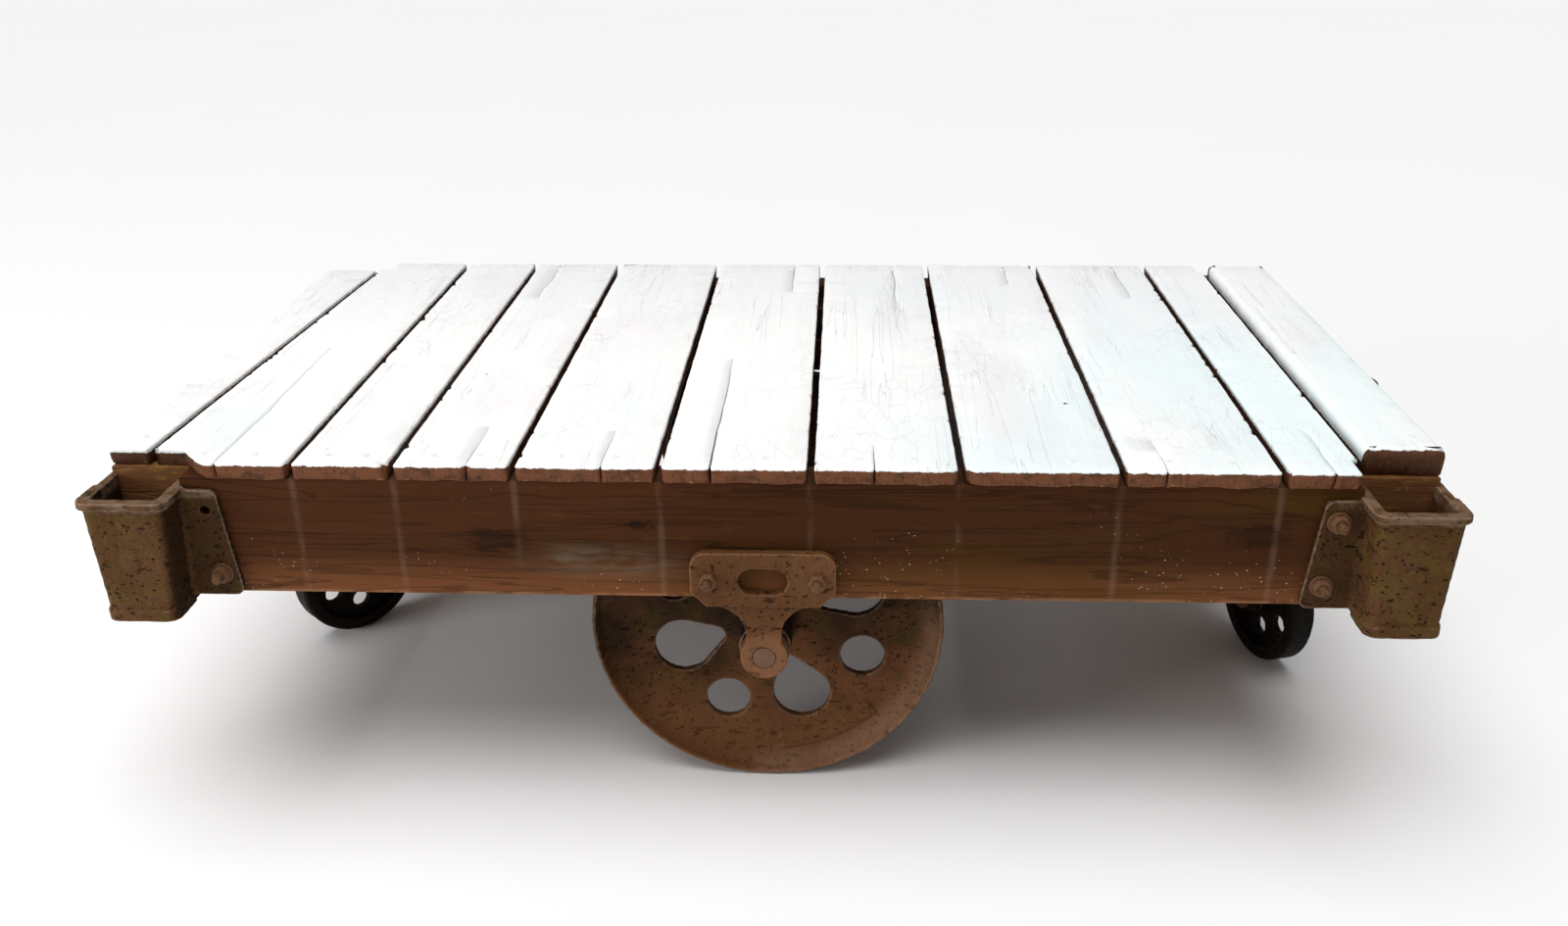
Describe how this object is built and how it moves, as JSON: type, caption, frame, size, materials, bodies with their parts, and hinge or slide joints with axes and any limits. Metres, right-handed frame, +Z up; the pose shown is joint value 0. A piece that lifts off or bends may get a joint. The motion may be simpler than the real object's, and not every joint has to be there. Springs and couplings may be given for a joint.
{
  "type": "platform truck",
  "caption": "Low planked timber platform truck with cast stake pockets at its corners, large spoked cast wheels in the middle and swivel casters at the ends.",
  "frame": {"origin": "on the floor under the middle of the deck, between the large wheels", "axes": "+X along the deck to the right, +Y across it to the rear, +Z up; the viewer in front stands at -Y"},
  "size_m": [1.344, 0.756, 0.386],
  "materials": {
    "deck_paint": "old white paint, chipped and worn",
    "frame_paint": "dark red-brown paint, weathered",
    "pocket_iron": "brown patina with worn edges",
    "hanger_iron": "warm brown patina",
    "wheel_iron": "dark brown patina with rust",
    "caster_iron": "near-black, dull",
    "fastener_steel": "old dark steel",
    "axle_steel": "worn steel",
    "bushing_bronze": "dull bronze"
  },
  "bodies": {
    "cart_frame": {"plank_01": "deck_paint", "plank_02": "deck_paint", "plank_03": "deck_paint", "plank_04": "deck_paint", "plank_05": "deck_paint", "plank_06": "deck_paint", "plank_07": "deck_paint", "plank_08": "deck_paint", "plank_09": "deck_paint", "plank_10": "deck_paint", "plank_11": "deck_paint", "deck_nails": "fastener_steel", "side_beam_front": "frame_paint", "side_beam_rear": "frame_paint", "end_beam_left": "frame_paint", "end_beam_right": "frame_paint", "bolster_left": "frame_paint", "bolster_right": "frame_paint", "cross_beam_left": "frame_paint", "cross_beam_right": "frame_paint", "stake_pocket_front_left": "pocket_iron", "stake_pocket_front_right": "pocket_iron", "stake_pocket_rear_left": "pocket_iron", "stake_pocket_rear_right": "pocket_iron", "pocket_bolts": "fastener_steel", "pocket_washers": "fastener_steel", "pocket_nuts": "fastener_steel", "pocket_coach_screws": "fastener_steel", "axle_hanger_front": "hanger_iron", "axle_hanger_rear": "hanger_iron", "hanger_bolts": "fastener_steel", "hanger_nuts": "fastener_steel", "axle": "axle_steel", "axle_collar_front": "caster_iron", "axle_collar_rear": "caster_iron", "collar_screws": "fastener_steel", "caster_plate_left": "caster_iron", "caster_plate_right": "caster_iron", "caster_plate_screws": "fastener_steel", "kingpin_left": "fastener_steel", "kingpin_right": "fastener_steel", "kingpin_nuts": "fastener_steel", "swivel_balls": "axle_steel", "tow_lug_left": "pocket_iron", "tow_lug_right": "pocket_iron", "tow_lug_screws": "fastener_steel"},
    "front_wheel": {"wheel_front": "wheel_iron", "wheel_bushing_front": "bushing_bronze"},
    "rear_wheel": {"wheel_rear": "wheel_iron", "wheel_bushing_rear": "bushing_bronze"},
    "left_swivel": {"caster_fork_left": "caster_iron", "caster_axle_bolt_left": "fastener_steel", "caster_axle_nut_left": "fastener_steel"},
    "left_caster_wheel": {"caster_wheel_left": "caster_iron", "caster_bushing_left": "bushing_bronze"},
    "right_swivel": {"caster_fork_right": "caster_iron", "caster_axle_bolt_right": "fastener_steel", "caster_axle_nut_right": "fastener_steel"},
    "right_caster_wheel": {"caster_wheel_right": "caster_iron", "caster_bushing_right": "bushing_bronze"}
  },
  "joints": [
    {"name": "front_wheel_roll", "type": "hinge", "parent": "cart_frame", "child": "front_wheel", "pos_m": [0, -0.26, 0.1765], "axis": [0, 1, 0], "continuous": true},
    {"name": "rear_wheel_roll", "type": "hinge", "parent": "cart_frame", "child": "rear_wheel", "pos_m": [0, 0.26, 0.1765], "axis": [0, 1, 0], "continuous": true},
    {"name": "left_caster_swivel", "type": "hinge", "parent": "cart_frame", "child": "left_swivel", "pos_m": [-0.545, 0, 0.2], "axis": [0, 0, 1], "continuous": true},
    {"name": "left_caster_roll", "type": "hinge", "parent": "left_swivel", "child": "left_caster_wheel", "pos_m": [-0.53, 0.01609, 0.076], "axis": [-0.7314, 0.682, 0], "continuous": true},
    {"name": "right_caster_swivel", "type": "hinge", "parent": "cart_frame", "child": "right_swivel", "pos_m": [0.572, 0, 0.2], "axis": [0, 0, 1], "continuous": true},
    {"name": "right_caster_roll", "type": "hinge", "parent": "right_swivel", "child": "right_caster_wheel", "pos_m": [0.57806, -0.02115, 0.076], "axis": [0.9613, 0.2756, 0], "continuous": true}
  ]
}
